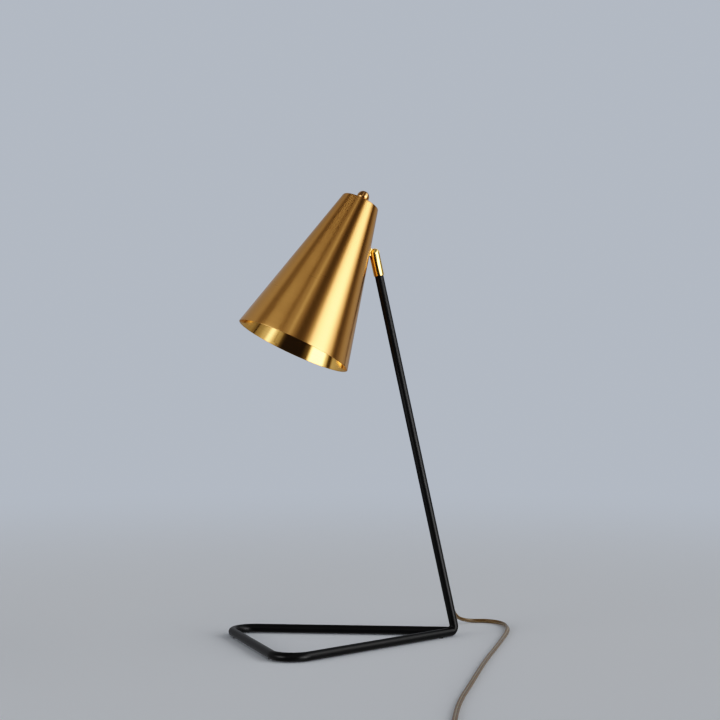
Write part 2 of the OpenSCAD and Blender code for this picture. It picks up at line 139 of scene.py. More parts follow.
# ---------------------------------------------------------------- camera
cam_data = bpy.data.cameras.new("camera")
cam_data.lens = 83.0
cam_data.sensor_width = 36.0
cam_data.clip_start, cam_data.clip_end = 0.05, 100.0
cam = bpy.data.objects.new("camera", cam_data)
scene.collection.objects.link(cam)
cam.location = (-0.6238, -1.7804, 0.3202)
cam.rotation_euler = (math.radians(90.0104), 0, math.radians(-19.581))
scene.camera = cam


# ---------------------------------------------------------------- mesh helpers
def make(name, verts, faces, body, mats, matrix=None, mat_of=None, sharp=32.0, uvs=None, replaces=()):
    """A piece from vertices in metres and faces, smooth except over edges sharper than a limit. With a matrix the
    vertices are in that frame, which its materials read as the attribute "local" and the map "around"."""
    me = bpy.data.meshes.new(name)
    local = np.asarray(verts, float)
    world = local if matrix is None else placed(matrix, local / MM)
    me.from_pydata([tuple(map(float, v)) for v in world], [], [tuple(map(int, f)) for f in faces])
    if matrix is not None:
        me.attributes.new("local", "FLOAT_VECTOR", "POINT").data.foreach_set("vector", local.astype(np.float32).ravel())
        layer = me.uv_layers.new(name="around")
        uv = []
        for f in faces:
            a = [math.atan2(local[v][1], local[v][0]) for v in f]
            if max(a) - min(a) > math.pi:
                a = [q + 2 * math.pi if q < 0 else q for q in a]
            uv += [(q / (2 * math.pi) + 0.5, local[v][2] * 5 + 1.0) for q, v in zip(a, f)]
        layer.data.foreach_set("uv", np.asarray(uv, np.float32).ravel())
    for m in mats if isinstance(mats, (list, tuple)) else [mats]:
        me.materials.append(m)
    if mat_of is not None:
        me.polygons.foreach_set("material_index", np.asarray(mat_of, np.int32))
    if uvs is not None:
        layer = me.uv_layers.new(name="UVMap")
        loops = np.zeros(len(me.loops), np.int32)
        me.loops.foreach_get("vertex_index", loops)
        layer.data.foreach_set("uv", np.asarray(uvs, np.float32)[loops].ravel())
    bm = bmesh.new()
    bm.from_mesh(me)
    bmesh.ops.recalc_face_normals(bm, faces=bm.faces)
    lim = math.radians(sharp)
    for f in bm.faces:
        f.smooth = True
    for e in bm.edges:
        e.smooth = not (len(e.link_faces) == 2 and e.calc_face_angle(0.0) > lim)
    bm.to_mesh(me)
    bm.free()
    ob = bpy.data.objects.new(name, me)
    scene.collection.objects.link(ob)
    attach(ob, body)
    if replaces:
        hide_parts(*replaces)
    return ob


def lathe(profile, n):
    """A closed turned solid from a closed (r, z) profile in millimetres. Returns metres."""
    pr = [(max(r, 0.0), z) for r, z in profile]
    verts, rings = [], []
    for r, z in pr:
        if r < 1e-6:
            rings.append([len(verts)] * n)
            verts.append((0, 0, z * MM))
        else:
            rings.append(list(range(len(verts), len(verts) + n)))
            for k in range(n):
                a = 2 * math.pi * k / n
                verts.append((r * math.cos(a) * MM, r * math.sin(a) * MM, z * MM))
    faces, span = [], []
    m = len(pr)
    for i in range(m):
        a, b = rings[i], rings[(i + 1) % m]
        if a[0] == a[-1] and b[0] == b[-1]:
            continue
        for k in range(n):
            q = (k + 1) % n
            f = [a[k], a[q], b[q], b[k]]
            f = [v for j, v in enumerate(f) if v not in f[:j]]
            if len(f) > 2:
                faces.append(f)
                span.append(i)
    return verts, faces, span


def rounded(profile, radii, seg=4):
    """Rounds the corners of a closed (r, z) profile."""
    out = []
    n = len(profile)
    for i, (p, r) in enumerate(zip(profile, radii)):
        p = Vector(p)
        if r <= 0:
            out.append(tuple(p))
            continue
        a, b = Vector(profile[i - 1]) - p, Vector(profile[(i + 1) % n]) - p
        la, lb = a.length, b.length
        a, b = a.normalized(), b.normalized()
        ang = a.angle(b)
        t = min(r / math.tan(ang / 2), la * 0.49, lb * 0.49)
        rr = t * math.tan(ang / 2)
        c = p + (a + b).normalized() * (rr / math.sin(ang / 2))
        s, e = p + a * t - c, p + b * t - c
        tot = s.angle_signed(e) if s.length > 1e-9 and e.length > 1e-9 else 0
        for k in range(seg + 1):
            w = -tot * k / seg
            cs, sn = math.cos(w), math.sin(w)
            out.append((c.x + s.x * cs - s.y * sn, c.y + s.x * sn + s.y * cs))
    return out


def sweep(path, radius, n=48, caps=True):
    """A round bar along a path in metres, with frames carried along it. radius is a number or one per point."""
    p = np.asarray(path, float)
    r = np.full(len(p), radius, float) if np.isscalar(radius) else np.asarray(radius, float)
    t = np.gradient(p, axis=0)
    t /= np.linalg.norm(t, axis=1)[:, None]
    u = np.cross(t[0], [0, 0, 1.0])
    if np.linalg.norm(u) < 0.1:
        u = np.cross(t[0], [0, 1.0, 0])
    u /= np.linalg.norm(u)
    verts, ang = [], np.arange(n) * 2 * math.pi / n
    for i in range(len(p)):
        u = u - t[i] * (u @ t[i])
        u /= np.linalg.norm(u)
        v = np.cross(t[i], u)
        verts += list(p[i] + r[i] * (np.outer(np.cos(ang), u) + np.outer(np.sin(ang), v)))
    faces = []
    for i in range(len(p) - 1):
        for k in range(n):
            q = (k + 1) % n
            faces.append((i * n + k, i * n + q, (i + 1) * n + q, (i + 1) * n + k))
    if caps:
        faces.append(tuple(range(n - 1, -1, -1)))
        faces.append(tuple((len(p) - 1) * n + k for k in range(n)))
    return verts, faces


def refine(name, node, mats, width, seg=2, sharp=30.0, limit=28.0):
    """A CAD node's own shape with its triangles joined and its edges softened, standing for the node."""
    src = frame["nodes"][node]
    bm = bmesh.new()
    bm.from_mesh(src.data)
    bmesh.ops.remove_doubles(bm, verts=bm.verts, dist=2e-6)
    bmesh.ops.dissolve_degenerate(bm, dist=1e-7, edges=bm.edges)
    bmesh.ops.dissolve_limit(bm, angle_limit=math.radians(0.6), verts=bm.verts, edges=bm.edges, delimit=set())
    bmesh.ops.recalc_face_normals(bm, faces=bm.faces)
    edges = [e for e in bm.edges if len(e.link_faces) == 2 and e.calc_face_angle(0.0) > math.radians(limit)]
    if width > 0 and edges:
        bmesh.ops.bevel(bm, geom=edges, offset=width * MM, offset_type="OFFSET", segments=seg, profile=0.5,
                        affect="EDGES", clamp_overlap=True)
    bmesh.ops.recalc_face_normals(bm, faces=bm.faces)
    me = bpy.data.meshes.new(name)
    for m in mats if isinstance(mats, (list, tuple)) else [mats]:
        me.materials.append(m)
    lim = math.radians(sharp)
    for f in bm.faces:
        f.smooth = True
        f.material_index = 0
    for e in bm.edges:
        e.smooth = not (len(e.link_faces) == 2 and e.calc_face_angle(0.0) > lim)
    bm.to_mesh(me)
    bm.free()
    ob = bpy.data.objects.new(name, me)
    scene.collection.objects.link(ob)
    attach(ob, src["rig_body"])
    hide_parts(node)
    return ob


# ---------------------------------------------------------------- materials
def tree(name):
    m = bpy.data.materials.new(name)
    m.use_nodes = True
    nt = m.node_tree
    for n in list(nt.nodes):
        nt.nodes.remove(n)
    out = nt.nodes.new("ShaderNodeOutputMaterial")
    bs = nt.nodes.new("ShaderNodeBsdfPrincipled")
    nt.links.new(bs.outputs["BSDF"], out.inputs["Surface"])
    return m, nt, bs


def node(nt, kind, **kw):
    n = nt.nodes.new(kind)
    for k, v in kw.items():
        if k.startswith("in_"):
            n.inputs[k[3:].replace("_", " ")].default_value = v
        else:
            setattr(n, k, v)
    return n


def coords(nt, scale=(1, 1, 1), local=False):
    """Places on the piece: in its own turned frame, or in the frame of the whole object."""
    tc = node(nt, "ShaderNodeAttribute", attribute_name="local") if local else node(nt, "ShaderNodeTexCoord")
    mp = node(nt, "ShaderNodeMapping")
    mp.inputs["Scale"].default_value = scale
    nt.links.new(tc.outputs["Vector" if local else "Object"], mp.inputs["Vector"])
    return mp.outputs["Vector"]


def noise(nt, vec, scale, detail=3.0, rough=0.5, dist=0.0):
    n = node(nt, "ShaderNodeTexNoise")
    n.inputs["Scale"].default_value = scale
    n.inputs["Detail"].default_value = detail
    n.inputs["Roughness"].default_value = rough
    n.inputs["Distortion"].default_value = dist
    nt.links.new(vec, n.inputs["Vector"])
    return n.outputs["Fac"]


def span_of(nt, fac, lo, hi, f0=0.0, f1=1.0):
    r = node(nt, "ShaderNodeMapRange")
    r.inputs["From Min"].default_value = f0
    r.inputs["From Max"].default_value = f1
    r.inputs["To Min"].default_value = lo
    r.inputs["To Max"].default_value = hi
    nt.links.new(fac, r.inputs["Value"])
    return r.outputs["Result"]


def ramp(nt, fac, stops, kind="LINEAR"):
    c = node(nt, "ShaderNodeValToRGB")
    c.color_ramp.interpolation = kind
    el = c.color_ramp.elements
    el[0].position, el[0].color = stops[0][0], (*stops[0][1], 1)
    el[1].position, el[1].color = stops[-1][0], (*stops[-1][1], 1)
    for pos, col in stops[1:-1]:
        e = el.new(pos)
        e.color = (*col, 1)
    nt.links.new(fac, c.inputs["Fac"])
    return c.outputs["Color"]


def bump(nt, bs, height, strength, dist, normal=None):
    b = node(nt, "ShaderNodeBump")
    b.inputs["Strength"].default_value = strength
    b.inputs["Distance"].default_value = dist
    nt.links.new(height, b.inputs["Height"])
    if normal is not None:
        nt.links.new(normal, b.inputs["Normal"])
    nt.links.new(b.outputs["Normal"], bs.inputs["Normal"])
    return b.outputs["Normal"]


def math_node(nt, op, a, b=None, c=None):
    m = node(nt, "ShaderNodeMath", operation=op)
    for i, v in enumerate((a, b, c)):
        if v is None:
            continue
        if isinstance(v, (int, float)):
            m.inputs[i].default_value = v
        else:
            nt.links.new(v, m.inputs[i])
    return m.outputs[0]


def metal(name, dark, light, rough, aniso=0.0, brush=None, coat=0.0, coat_rough=0.05, grain=0.0, painted_shade=None):
    """A metal whose tone and gloss follow its brushing. brush is the scale of the brush lines per axis, and the last
    argument is a list of (local height, tone) that paints shade into the colour, darker towards one end."""
    m, nt, bs = tree(name)
    bs.inputs["Metallic"].default_value = 1.0
    bs.inputs["Anisotropic"].default_value = aniso
    if aniso:
        bs.inputs["Anisotropic Rotation"].default_value = 0.25
        tg = node(nt, "ShaderNodeTangent", direction_type="UV_MAP", uv_map="around")
        nt.links.new(tg.outputs["Tangent"], bs.inputs["Tangent"])
    if coat:
        bs.inputs["Coat Weight"].default_value = coat
        bs.inputs["Coat Roughness"].default_value = coat_rough
    v = coords(nt, brush or (60, 60, 60), local=aniso > 0)
    fine = noise(nt, v, 1.0, 4.0, 0.6)
    soft = noise(nt, coords(nt, (18, 18, 18), local=aniso > 0), 1.0, 2.0, 0.5)
    both = math_node(nt, "ADD", math_node(nt, "MULTIPLY", fine, 0.65), math_node(nt, "MULTIPLY", soft, 0.35))
    tone_ = ramp(nt, both, [(0.3, dark), (0.7, light)])
    # painted shade: the colour is multiplied darker towards one end of the piece, standing in for dimmer light there
    if painted_shade:
        at = node(nt, "ShaderNodeSeparateXYZ")
        nt.links.new(coords(nt, (1, 1, 1), local=True), at.inputs["Vector"])
        (z0_, f0_), (z1_, f1_) = painted_shade
        deep = node(nt, "ShaderNodeMix", data_type="RGBA", blend_type="MULTIPLY")
        deep.inputs["Factor"].default_value = 1.0
        level = span_of(nt, at.outputs["Z"], 0.0, 1.0, z0_, z1_)
        nt.links.new(tone_, deep.inputs["A"])
        nt.links.new(ramp(nt, level, [(0.0, (f0_, f0_ * 0.985, f0_ * 0.95)), (1.0, (f1_, f1_, f1_))]), deep.inputs["B"])
        tone_ = deep.outputs["Result"]
    nt.links.new(tone_, bs.inputs["Base Color"])
    nt.links.new(span_of(nt, both, rough * 0.88, rough * 1.13, 0.3, 0.7), bs.inputs["Roughness"])
    if grain:
        bump(nt, bs, noise(nt, coords(nt, (12, 12, 1100), local=True), 1.0, 2.0, 0.5) if aniso else fine, grain, 0.00005)
    return m


# painted shade: the outer shade's brass darkens towards its top, standing in for the dimmer light there
brass_brushed = metal("brass_brushed", (0.775, 0.410, 0.136), (0.845, 0.452, 0.154), 0.30, aniso=0.95,
                      brush=(9, 9, 2000), coat=0.08, coat_rough=0.2, grain=0.006,
                      painted_shade=((0.0, 0.80), (-0.125, 1.0)))
brass_inside = metal("brass_inside", (0.74, 0.43, 0.13), (0.84, 0.52, 0.18), 0.13, aniso=0.75,
                     brush=(9, 9, 1500), coat=0.1, grain=0.012)


def satin_deep(m, near, far, rough, metallic):
    """Polished at the mouth (local height below near), satin further in (above far)."""
    nt = m.node_tree
    bs = next(n for n in nt.nodes if n.type == "BSDF_PRINCIPLED")
    at = node(nt, "ShaderNodeSeparateXYZ")
    nt.links.new(coords(nt, (1, 1, 1), local=True), at.inputs["Vector"])
    deep = span_of(nt, at.outputs["Z"], 0.0, 1.0, near, far)
    was = bs.inputs["Roughness"].links[0].from_socket
    blend = node(nt, "ShaderNodeMix", data_type="FLOAT")
    nt.links.new(deep, blend.inputs["Factor"])
    nt.links.new(was, blend.inputs["A"])
    blend.inputs["B"].default_value = rough
    nt.links.new(blend.outputs["Result"], bs.inputs["Roughness"])
    nt.links.new(span_of(nt, deep, 1.0, metallic), bs.inputs["Metallic"])


satin_deep(brass_inside, -0.150, -0.115, 0.42, 0.78)
gold_polished = metal("gold_polished", (0.84, 0.555, 0.17), (0.92, 0.645, 0.235), 0.12, brush=(240, 240, 240), coat=0.3)
# painted shade: a darker copy of the polished gold, for the knuckle's tongue where it sits in the cup's slot
gold_painted_shade = metal("gold_painted_shade", (0.50, 0.30, 0.075), (0.62, 0.40, 0.12), 0.20, brush=(200, 200, 200), coat=0.2)
bronze_dark = metal("bronze_dark", (0.50, 0.26, 0.09), (0.62, 0.34, 0.13), 0.17, brush=(300, 300, 300), coat=0.3)
zinc = metal("zinc", (0.55, 0.56, 0.58), (0.72, 0.73, 0.75), 0.28, brush=(200, 200, 200), grain=0.05)
nickel = metal("nickel", (0.62, 0.60, 0.56), (0.76, 0.74, 0.70), 0.16, brush=(150, 150, 900), grain=0.03)


def powder(name):
    """Semi-matte black powder coat: a fine orange-peel grain with small bright specks."""
    m, nt, bs = tree(name)
    v = coords(nt)
    g = noise(nt, v, 1500, 3.0, 0.55)
    big = noise(nt, v, 420, 2.0, 0.5)
    wide = noise(nt, v, 40, 2.0, 0.5)
    vor = node(nt, "ShaderNodeTexVoronoi", feature="F1")
    vor.inputs["Scale"].default_value = 900
    nt.links.new(v, vor.inputs["Vector"])
    speck = node(nt, "ShaderNodeMath", operation="LESS_THAN")
    nt.links.new(vor.outputs["Distance"], speck.inputs[0])
    speck.inputs[1].default_value = 0.11
    base = ramp(nt, wide, [(0.3, (0.0065, 0.0065, 0.007)), (0.7, (0.0100, 0.0100, 0.0105))])
    mix = node(nt, "ShaderNodeMix", data_type="RGBA")
    nt.links.new(speck.outputs[0], mix.inputs["Factor"])
    nt.links.new(base, mix.inputs["A"])
    mix.inputs["B"].default_value = (0.03, 0.03, 0.032, 1)
    nt.links.new(mix.outputs["Result"], bs.inputs["Base Color"])
    r = math_node(nt, "SUBTRACT", span_of(nt, g, 0.28, 0.40, 0.3, 0.7), math_node(nt, "MULTIPLY", speck.outputs[0], 0.10))
    nt.links.new(r, bs.inputs["Roughness"])
    bs.inputs["Specular IOR Level"].default_value = 0.28
    h = math_node(nt, "ADD", math_node(nt, "MULTIPLY", g, 0.6), math_node(nt, "MULTIPLY", big, 0.6))
    bump(nt, bs, h, 0.35, 0.00012)
    return m


def plastic(name, dark, light, rough, grain=0.1, scale=900, coat=0.0):
    m, nt, bs = tree(name)
    v = coords(nt)
    g = noise(nt, v, scale, 3.0, 0.55)
    w = noise(nt, v, 55, 2.0, 0.5)
    nt.links.new(ramp(nt, w, [(0.3, dark), (0.7, light)]), bs.inputs["Base Color"])
    nt.links.new(span_of(nt, g, rough * 0.85, rough * 1.15, 0.3, 0.7), bs.inputs["Roughness"])
    if coat:
        bs.inputs["Coat Weight"].default_value = coat
        bs.inputs["Coat Roughness"].default_value = 0.08
    bump(nt, bs, g, grain, 0.0001)
    return m


black_coat = powder("black_coat")
black_plastic = plastic("black_plastic", (0.010, 0.010, 0.010), (0.016, 0.016, 0.016), 0.34, 0.08)
black_gloss = plastic("black_gloss", (0.008, 0.008, 0.008), (0.013, 0.013, 0.013), 0.16, 0.03, coat=0.5)
brown_plastic = plastic("brown_plastic", (0.030, 0.015, 0.007), (0.045, 0.023, 0.011), 0.33, 0.08)
lead_black = plastic("lead_black", (0.012, 0.012, 0.012), (0.02, 0.02, 0.02), 0.42, 0.05)
rubber = plastic("rubber", (0.018, 0.018, 0.018), (0.028, 0.028, 0.028), 0.62, 0.2, 700)
porcelain = plastic("porcelain", (0.72, 0.70, 0.64), (0.80, 0.78, 0.72), 0.18, 0.02, coat=0.6)


def opal(name):
    m, nt, bs = tree(name)
    v = coords(nt)
    w = noise(nt, v, 30, 2.0, 0.5)
    nt.links.new(ramp(nt, w, [(0.3, (0.80, 0.80, 0.77)), (0.7, (0.88, 0.88, 0.85))]), bs.inputs["Base Color"])
    nt.links.new(span_of(nt, noise(nt, v, 400, 2.0), 0.16, 0.24, 0.3, 0.7), bs.inputs["Roughness"])
    bs.inputs["Subsurface Weight"].default_value = 0.25
    bs.inputs["Subsurface Scale"].default_value = 0.004
    bs.inputs["Coat Weight"].default_value = 0.6
    bs.inputs["Coat Roughness"].default_value = 0.04
    return m


bulb_opal = opal("bulb_opal")


def cord_skin(name):
    """Clear-gold plastic over two bundles of copper strands. UV: x across the cord from 0 to 1, y along it in metres."""
    m, nt, bs = tree(name)
    uv = node(nt, "ShaderNodeUVMap", uv_map="UVMap")
    sep = node(nt, "ShaderNodeSeparateXYZ")
    nt.links.new(uv.outputs["UV"], sep.inputs["Vector"])
    x, y = sep.outputs["X"], sep.outputs["Y"]
    # across each lobe: 0 at the lobe's middle, 1 at its sides and in the groove
    lobe = math_node(nt, "ABSOLUTE", math_node(nt, "SUBTRACT", math_node(nt, "MULTIPLY", math_node(nt, "ABSOLUTE", math_node(nt, "SUBTRACT", x, 0.5)), 4.0), 0.84))
    # strands: fine lines that turn round each core
    tw = math_node(nt, "SINE", math_node(nt, "ADD", math_node(nt, "MULTIPLY", y, 2 * math.pi / 0.0011), math_node(nt, "MULTIPLY", x, 52.0)))
    tw = span_of(nt, tw, 0.0, 1.0, -1.0, 1.0)
    vary = noise(nt, coords(nt), 120, 3.0, 0.6)
    core = ramp(nt, math_node(nt, "ADD", math_node(nt, "MULTIPLY", tw, 0.55), math_node(nt, "MULTIPLY", vary, 0.45)),
                [(0.15, (0.050, 0.022, 0.006)), (0.55, (0.15, 0.072, 0.018)), (0.9, (0.36, 0.195, 0.055))])
    skin = ramp(nt, vary, [(0.3, (0.12, 0.066, 0.017)), (0.7, (0.17, 0.098, 0.027))])
    web = ramp(nt, vary, [(0.3, (0.42, 0.35, 0.19)), (0.7, (0.52, 0.45, 0.27))])
    gap_ = node(nt, "ShaderNodeMix", data_type="RGBA")
    nt.links.new(span_of(nt, math_node(nt, "ABSOLUTE", math_node(nt, "SUBTRACT", x, 0.5)), 1.0, 0.0, 0.07, 0.15), gap_.inputs["Factor"])
    nt.links.new(skin, gap_.inputs["A"])
    nt.links.new(web, gap_.inputs["B"])
    skin = gap_.outputs["Result"]
    mix = node(nt, "ShaderNodeMix", data_type="RGBA")
    nt.links.new(span_of(nt, lobe, 0.0, 1.0, 0.42, 0.80), mix.inputs["Factor"])
    nt.links.new(core, mix.inputs["A"])
    nt.links.new(skin, mix.inputs["B"])
    nt.links.new(mix.outputs["Result"], bs.inputs["Base Color"])
    nt.links.new(span_of(nt, vary, 0.28, 0.42, 0.3, 0.7), bs.inputs["Roughness"])
    bs.inputs["Metallic"].default_value = 0.15
    bs.inputs["Coat Weight"].default_value = 0.35
    bs.inputs["Coat Roughness"].default_value = 0.14
    return m


def clear_gold(name):
    m, nt, bs = tree(name)
    v = coords(nt)
    w = noise(nt, v, 90, 3.0, 0.5)
    nt.links.new(ramp(nt, w, [(0.3, (0.22, 0.125, 0.038)), (0.7, (0.36, 0.22, 0.075))]), bs.inputs["Base Color"])
    nt.links.new(span_of(nt, noise(nt, v, 700, 2.0), 0.30, 0.42, 0.3, 0.7), bs.inputs["Roughness"])
    bs.inputs["Subsurface Weight"].default_value = 0.3
    bs.inputs["Subsurface Scale"].default_value = 0.003
    bs.inputs["Coat Weight"].default_value = 0.35
    bs.inputs["Coat Roughness"].default_value = 0.14
    return m


cord_mat = cord_skin("cord_skin")
gold_pvc = clear_gold("gold_pvc")

# ---------------------------------------------------------------- the cord comes first
RELIEF_TIP = placed(RELIEF, (0, 0, 27.0))[0]
_m = np.array(LAY.inverted(), float)
tip_lay = _m[:3, :3] @ (RELIEF_TIP / MM) + _m[:3, 3]
in_lay = _m[:3, :3] @ (placed(RELIEF, (0, 0, 12.0))[0] / MM) + _m[:3, 3]
RUN = [[*in_lay, 0], [*tip_lay, 0],
       [-3, 37, 30.3, 0], [-2, 49, 27.5, 0], [0.5, 61, 21.5, 0], [4, 73, 14, 6], [10, 84, 7.6, 20],
       [19.5, 92.5, 3.8, 40], [31, 96.5, 2.5, 55], [43, 95.5, 2.5, 60], [53.5, 89, 2.5, 60],
       [60.5, 78.5, 2.5, 58], [64, 65.5, 2.5, 54], [65, 51, 2.4, 46], [64, 34, 2.2, 36], [61, 13, 2, 24],
       [56, -13, 1.8, 12], [49, -46, 1.6, 4], [40, -88, 1.55, 0], [29, -138, 1.55, 0], [17.5, -194, 1.55, 0],
       [6.5, -252, 1.55, 0], [-4, -308, 1.55, 0], [-13.5, -358, 1.55, 0], [-20.5, -404, 1.55, 0],
       [-25.5, -448, 1.55, 0], [-29, -486, 1.55, 0], [-30, -507, 1.6, 4], [-26.5, -524, 2.1, 14],
       [-17, -538, 3.4, 14], [-3, -545.5, 5.6, 8], [12, -547, 8, 0], [24, -547, 8, 0]]
THROUGH = [[30, -547, 7.9, 0], [40, -547, 6.6, 0], [54, -547, 6.5, 0], [68, -547, 6.6, 0], [78, -547, 7.9, 0]]
LINK = [[84, -547, 8, 0], [87, -547, 8, 0], [94, -548.3, 7.3, 12], [101.5, -552.4, 5.3, 40], [108.5, -557.9, 3.6, 72]]
COIL_AT, COIL_OUT, COIL_IN = (132.0, -537.0), 30.8, 23.0
COIL_LOW, COIL_HIGH = 3.1, 8.5
TAIL = [[142, -569, 8.4, 70], [150, -571.2, 7.5, 30], [157, -572, 7, 0], [164, -572, 7, 0]]


def winding():
    """Five turns on edge: two and a half inwards on the floor, then as many outwards on top of them."""
    a0, per = -125.0, 24
    turns = [(a0 + 360 * i / per, COIL_OUT + (COIL_IN - COIL_OUT) * i / (2.5 * per)) for i in range(int(2.5 * per) + 1)]
    half = a0 + 900
    turns += [(half + 360 * i / per, COIL_IN + (COIL_OUT - COIL_IN) * i / (2.5 * per)) for i in range(1, int(2.6 * per) + 1)]
    out = []
    for a, r in turns:
        s = min(max((a - half + 55) / 110, 0), 1)
        s = s * s * (3 - 2 * s)
        out.append([COIL_AT[0] + r * math.cos(math.radians(a)), COIL_AT[1] + r * math.sin(math.radians(a)),
                    COIL_LOW + (COIL_HIGH - COIL_LOW) * s, 90])
    return out


def catmull(points, step):
    p = np.asarray(points, float)
    n, out = len(p), []
    for i in range(n - 1):
        a, b, c, d = p[max(i - 1, 0)], p[i], p[i + 1], p[min(i + 2, n - 1)]
        k = max(1, int(math.ceil(np.linalg.norm((c - b)[:3]) / step)))
        for j in range(k):
            t = j / k
            out.append(0.5 * ((2 * b) + (c - a) * t + (2 * a - 5 * b + 4 * c - d) * t * t + (3 * b - a - 3 * c + d) * t ** 3))
    out.append(p[-1])
    return np.array(out)


route = catmull(RUN + THROUGH + LINK + winding() + TAIL, 2.0)
CORD_W, CORD_T = 5.2, 3.0


def twin_section(steps=7):
    """Outline of a flat twin cord: two round cores with a shallow groove between them, in millimetres."""
    r, off = CORD_T / 2, (CORD_W - CORD_T) / 2
    half = math.degrees(math.acos(min(1.0, (off - 0.18) / r)))
    pts = []
    for s in (1, -1):
        for k in range(2 * steps + 1):
            a = math.radians(-(180 - half) + 2 * (180 - half) * k / (2 * steps))
            pts.append((s * off + s * r * math.cos(a), s * r * math.sin(a)))
    return pts


def flat_tube(route_mm, m, section, name, body, mat):
    p = route_mm[:, :3]
    t = np.gradient(p, axis=0)
    t /= np.linalg.norm(t, axis=1)[:, None]
    s0 = np.cross(t, [0, 0, 1.0])
    s0 /= np.linalg.norm(s0, axis=1)[:, None]
    u0 = np.cross(s0, t)
    ro = np.radians(route_mm[:, 3])[:, None]
    s, u = s0 * np.cos(ro) + u0 * np.sin(ro), u0 * np.cos(ro) - s0 * np.sin(ro)
    k = len(section)
    run = np.concatenate([[0], np.cumsum(np.linalg.norm(np.diff(p, axis=0), axis=1))]) * MM
    verts, uvs = [], []
    for i in range(len(p)):
        for q in section:
            verts.append(p[i] + s[i] * q[0] + u[i] * q[1])
            uvs.append((0.5 + q[0] / CORD_W, run[i]))
    verts = placed(m, np.array(verts))
    faces = [(i * k + j, i * k + (j + 1) % k, (i + 1) * k + (j + 1) % k, (i + 1) * k + j)
             for i in range(len(p) - 1) for j in range(k)]
    faces.append(tuple(range(k - 1, -1, -1)))
    faces.append(tuple((len(p) - 1) * k + j for j in range(k)))
    return make(name, verts, faces, body, mat, uvs=uvs, sharp=50)


cord = flat_tube(route, LAY, twin_section(), "cord", "base", cord_mat)
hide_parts("cord_run", "cord_link", "cord_coil", "cord_tail")

# strain relief: a tapered sleeve with soft grooves, on the tube's far side
prof = [(0.0, 3.9)]
for i in range(45):
    z = 4.3 + 22.7 * i / 44
    r = 4.25 - 1.0 * (z - 4.3) / 22.7
    if 10.0 < z < 25.6:
        w = (z - 10.0) % 3.1
        if w > 1.9:
            r -= 0.62 * math.sin(math.pi * (w - 1.9) / 1.2)
    if z > 26.2:
        r -= 0.5 * ((z - 26.2) / 0.8) ** 2
    prof.append((r, z))
prof.append((0.0, 27.0))
rv, rf, _ = lathe(prof, 40)
relief = make("cord_sleeve", rv, rf, "base", gold_pvc, matrix=RELIEF, replaces=["cord_relief"])

# a small tie round the coil's far side
ring = []
cx0, cy0 = (COIL_IN + COIL_OUT) / 2, 5.75
hw, hh = 5.75, 5.55
for k in range(32):
    a = 2 * math.pi * k / 32
    ex = 5.0
    ca, sa = math.cos(a), math.sin(a)
    f = (abs(ca) ** ex + abs(sa) ** ex) ** (-1 / ex)
    ring.append((cx0 + hw * f * ca, cy0 + hh * f * sa))
tv, tf = [], []
for w, grow in ((-2.0, 0.0), (-1.8, 0.22), (1.8, 0.22), (2.0, 0.0), (1.8, -0.12), (-1.8, -0.12)):
    for x, z in ring:
        d = Vector((x - cx0, z - cy0)).normalized()
        x2, z2 = x + d.x * grow, max(z + d.y * grow, 0.05 + (0.1 if grow < 0 else 0))
        tv.append((x2, w, z2))
n = len(ring)
for a in range(6):
    b = (a + 1) % 6
    for k in range(n):
        q = (k + 1) % n
        tf.append((a * n + k, a * n + q, b * n + q, b * n + k))
TIE = LAY @ shift(COIL_AT[0], COIL_AT[1], 0) @ turn(78, "Z")
tie = make("cord_tie", placed(TIE, tv), tf, "base", black_plastic)

# ---------------------------------------------------------------- switch and plug
housing_base = refine("switch_shell_lower", "switch_base", brown_plastic, 0.7, 3)
housing_cover = refine("switch_shell_upper", "switch_cover", brown_plastic, 0.7, 3)
rocker = refine("switch_key", "switch_rocker", black_gloss, 0.3, 2)
screws = refine("switch_shell_screws", "switch_screws", zinc, 0.2, 2)
plug_shell = refine("plug_shell", "plug_body", gold_pvc, 0.9, 3)
plug_blades = refine("plug_prongs", "plug_pins", nickel, 0.2, 2)
for n_, m_ in (("switch_axle", zinc), ("switch_contacts", gold_polished)):
    frame["nodes"][n_].data.materials.clear()
    frame["nodes"][n_].data.materials.append(m_)

# ---------------------------------------------------------------- base rod, stem and weld
def corner(c, u, w, r, steps):
    c, u, w = Vector(c), Vector(u).normalized(), Vector(w).normalized()
    th = u.angle(w)
    ctr = c + (u + w).normalized() * (r / math.sin(th / 2))
    t = r / math.tan(th / 2)
    a, b = c + u * t - ctr, c + w * t - ctr
    ax = a.cross(b).normalized()
    tot = a.angle(b)
    return [ctr + Matrix.Rotation(tot * k / steps, 3, ax) @ a for k in range(steps + 1)]


def straight(a, b, step):
    a, b = Vector(a), Vector(b)
    k = max(1, int((b - a).length / step))
    return [a + (b - a) * (i / k) for i in range(1, k)]


c_rear, c_front = Vector((-BASE_LEN, BASE_WID / 2, 0)), Vector((-BASE_LEN, -BASE_WID / 2, 0))
u_rear, u_front = c_rear.normalized(), c_front.normalized()
arc_h = corner((0, 0, 0), U_STEM, u_front, HEEL_R, 20)
arc_f = corner(c_front, -u_front, (0, 1, 0), CORNER_R, 28)
arc_r = corner(c_rear, (0, -1, 0), -u_rear, CORNER_R, 28)
start = U_STEM * 12.0
main = [start] + arc_h + straight(arc_h[-1], arc_f[0], 12) + arc_f + straight(arc_f[-1], arc_r[0], 12) + arc_r \
    + straight(arc_r[-1], u_rear * 3, 12) + [u_rear * 3]
bv, bf = sweep(placed(HEEL, [tuple(p) for p in main]), ROD_R * MM, 56)
make("base_rod", bv, bf, "base", black_coat, replaces=["base_loop"])

